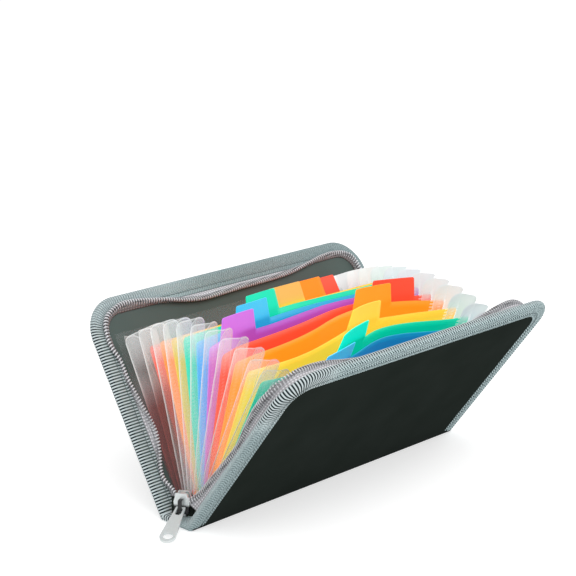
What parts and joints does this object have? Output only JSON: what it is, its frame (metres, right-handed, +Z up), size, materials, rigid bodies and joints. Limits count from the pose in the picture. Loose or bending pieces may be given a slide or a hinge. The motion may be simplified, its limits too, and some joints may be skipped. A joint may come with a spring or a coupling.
{
  "type": "expanding file folder",
  "caption": "Pocket-size expanding file folder: a zip-round padded case that opens in a V on its spine, with an accordion of tabbed coloured dividers between clear pleated gussets.",
  "frame": {"origin": "middle of the flat underside of the spine, the face that the folder stands on", "axes": "+X along the spine, away from the slider's end; +Y towards the rear cover; +Z up"},
  "size_m": [0.1956, 0.1335, 0.0899],
  "materials": {
    "outer_cloth": "woven",
    "board": "plain board",
    "lining": "smooth woven",
    "binding": "ribbed weave",
    "tape": "woven",
    "coil": "moulded",
    "clear_film": "frosted clear",
    "zip_metal": "satin nickel",
    "zip_black": "black",
    "red": "translucent satin",
    "orange": "translucent satin",
    "yellow": "translucent satin",
    "green": "translucent satin",
    "blue": "translucent satin",
    "purple": "translucent satin"
  },
  "bodies": {
    "spine": {"spine_panel": "outer_cloth", "spine_lining": "lining", "spine_binding_left": "binding", "spine_binding_right": "binding", "accordion_floor": "clear_film", "gusset_left": "clear_film", "gusset_right": "clear_film", "zip_tail_left": "tape", "zip_tail_right": "tape", "zip_bottom_stop": "zip_metal"},
    "front_cover": {"front_cover_cloth": "outer_cloth", "front_cover_board": "board", "front_cover_lining": "lining", "front_binding": "binding", "front_zip_tape": "tape", "front_zip_coil": "coil", "front_end_sheet": "clear_film", "front_zip_top_stop": "zip_metal"},
    "rear_cover": {"rear_cover_cloth": "outer_cloth", "rear_cover_board": "board", "rear_cover_lining": "lining", "rear_binding": "binding", "rear_zip_tape": "tape", "rear_zip_coil": "coil", "rear_end_sheet": "clear_film", "rear_zip_top_stop": "zip_metal"},
    "divider_01": {"divider_01": "red"},
    "divider_02": {"divider_02": "orange"},
    "divider_03": {"divider_03": "yellow"},
    "divider_04": {"divider_04": "green"},
    "divider_05": {"divider_05": "blue"},
    "divider_06": {"divider_06": "purple"},
    "divider_07": {"divider_07": "red"},
    "divider_08": {"divider_08": "orange"},
    "divider_09": {"divider_09": "yellow"},
    "divider_10": {"divider_10": "green"},
    "divider_11": {"divider_11": "blue"},
    "divider_12": {"divider_12": "purple"},
    "slider": {"slider_body": "zip_metal", "slider_bridge": "zip_black"},
    "puller": {"zip_puller": "zip_metal"}
  },
  "joints": [
    {"name": "front_cover_fold", "type": "hinge", "parent": "spine", "child": "front_cover", "pos_m": [0, -0.0088, 0.0012], "axis": [-1, 0, 0], "range_deg": [0, 37.2], "deforming": ["gusset_left", "gusset_right"]},
    {"name": "rear_cover_fold", "type": "hinge", "parent": "spine", "child": "rear_cover", "pos_m": [0, 0.0088, 0.0012], "axis": [1, 0, 0], "range_deg": [0, 31.2]},
    {"name": "divider_01_fold", "type": "hinge", "parent": "spine", "child": "divider_01", "pos_m": [0, 0.00537, 0.004], "axis": [1, 0, 0], "range_deg": [0, 23.8]},
    {"name": "divider_02_fold", "type": "hinge", "parent": "spine", "child": "divider_02", "pos_m": [0, 0.0044, 0.004], "axis": [1, 0, 0], "range_deg": [0, 18.23]},
    {"name": "divider_03_fold", "type": "hinge", "parent": "spine", "child": "divider_03", "pos_m": [0, 0.00342, 0.004], "axis": [1, 0, 0], "range_deg": [0, 12.66]},
    {"name": "divider_04_fold", "type": "hinge", "parent": "spine", "child": "divider_04", "pos_m": [0, 0.00244, 0.004], "axis": [1, 0, 0], "range_deg": [0, 7.09]},
    {"name": "divider_05_fold", "type": "hinge", "parent": "spine", "child": "divider_05", "pos_m": [0, 0.00146, 0.004], "axis": [1, 0, 0], "range_deg": [0, 1.52]},
    {"name": "divider_06_fold", "type": "hinge", "parent": "spine", "child": "divider_06", "pos_m": [0, 0.00049, 0.004], "axis": [1, 0, 0], "range_deg": [-4.05, 0]},
    {"name": "divider_07_fold", "type": "hinge", "parent": "spine", "child": "divider_07", "pos_m": [0, -0.00049, 0.004], "axis": [1, 0, 0], "range_deg": [-9.62, 0]},
    {"name": "divider_08_fold", "type": "hinge", "parent": "spine", "child": "divider_08", "pos_m": [0, -0.00146, 0.004], "axis": [1, 0, 0], "range_deg": [-15.19, 0]},
    {"name": "divider_09_fold", "type": "hinge", "parent": "spine", "child": "divider_09", "pos_m": [0, -0.00244, 0.004], "axis": [1, 0, 0], "range_deg": [-20.76, 0]},
    {"name": "divider_10_fold", "type": "hinge", "parent": "spine", "child": "divider_10", "pos_m": [0, -0.00342, 0.004], "axis": [1, 0, 0], "range_deg": [-26.33, 0]},
    {"name": "divider_11_fold", "type": "hinge", "parent": "spine", "child": "divider_11", "pos_m": [0, -0.0044, 0.004], "axis": [1, 0, 0], "range_deg": [-30.48, 0]},
    {"name": "divider_12_fold", "type": "hinge", "parent": "spine", "child": "divider_12", "pos_m": [0, -0.00537, 0.004], "axis": [1, 0, 0], "range_deg": [-34.63, 0]},
    {"name": "slider_slide", "type": "slide", "parent": "spine", "child": "slider", "axis": [0, 0, 1], "range_m": [0, 0.0025]},
    {"name": "puller_swing", "type": "hinge", "parent": "slider", "child": "puller", "pos_m": [-0.0868, -0.00105, 0.00785], "axis": [-0.4848, 0.8746, 0], "range_deg": [-12, 105]}
  ],
  "couplings": [
    {"joint": "rear_cover_fold", "follows": "front_cover_fold", "ratio": 0.83871},
    {"joint": "divider_01_fold", "follows": "front_cover_fold", "ratio": 0.63978},
    {"joint": "divider_02_fold", "follows": "front_cover_fold", "ratio": 0.49005},
    {"joint": "divider_03_fold", "follows": "front_cover_fold", "ratio": 0.34032},
    {"joint": "divider_04_fold", "follows": "front_cover_fold", "ratio": 0.19059},
    {"joint": "divider_05_fold", "follows": "front_cover_fold", "ratio": 0.04086},
    {"joint": "divider_06_fold", "follows": "front_cover_fold", "ratio": -0.10887},
    {"joint": "divider_07_fold", "follows": "front_cover_fold", "ratio": -0.2586},
    {"joint": "divider_08_fold", "follows": "front_cover_fold", "ratio": -0.40833},
    {"joint": "divider_09_fold", "follows": "front_cover_fold", "ratio": -0.55806},
    {"joint": "divider_10_fold", "follows": "front_cover_fold", "ratio": -0.7078},
    {"joint": "divider_11_fold", "follows": "front_cover_fold", "ratio": -0.81935},
    {"joint": "divider_12_fold", "follows": "front_cover_fold", "ratio": -0.93091}
  ]
}
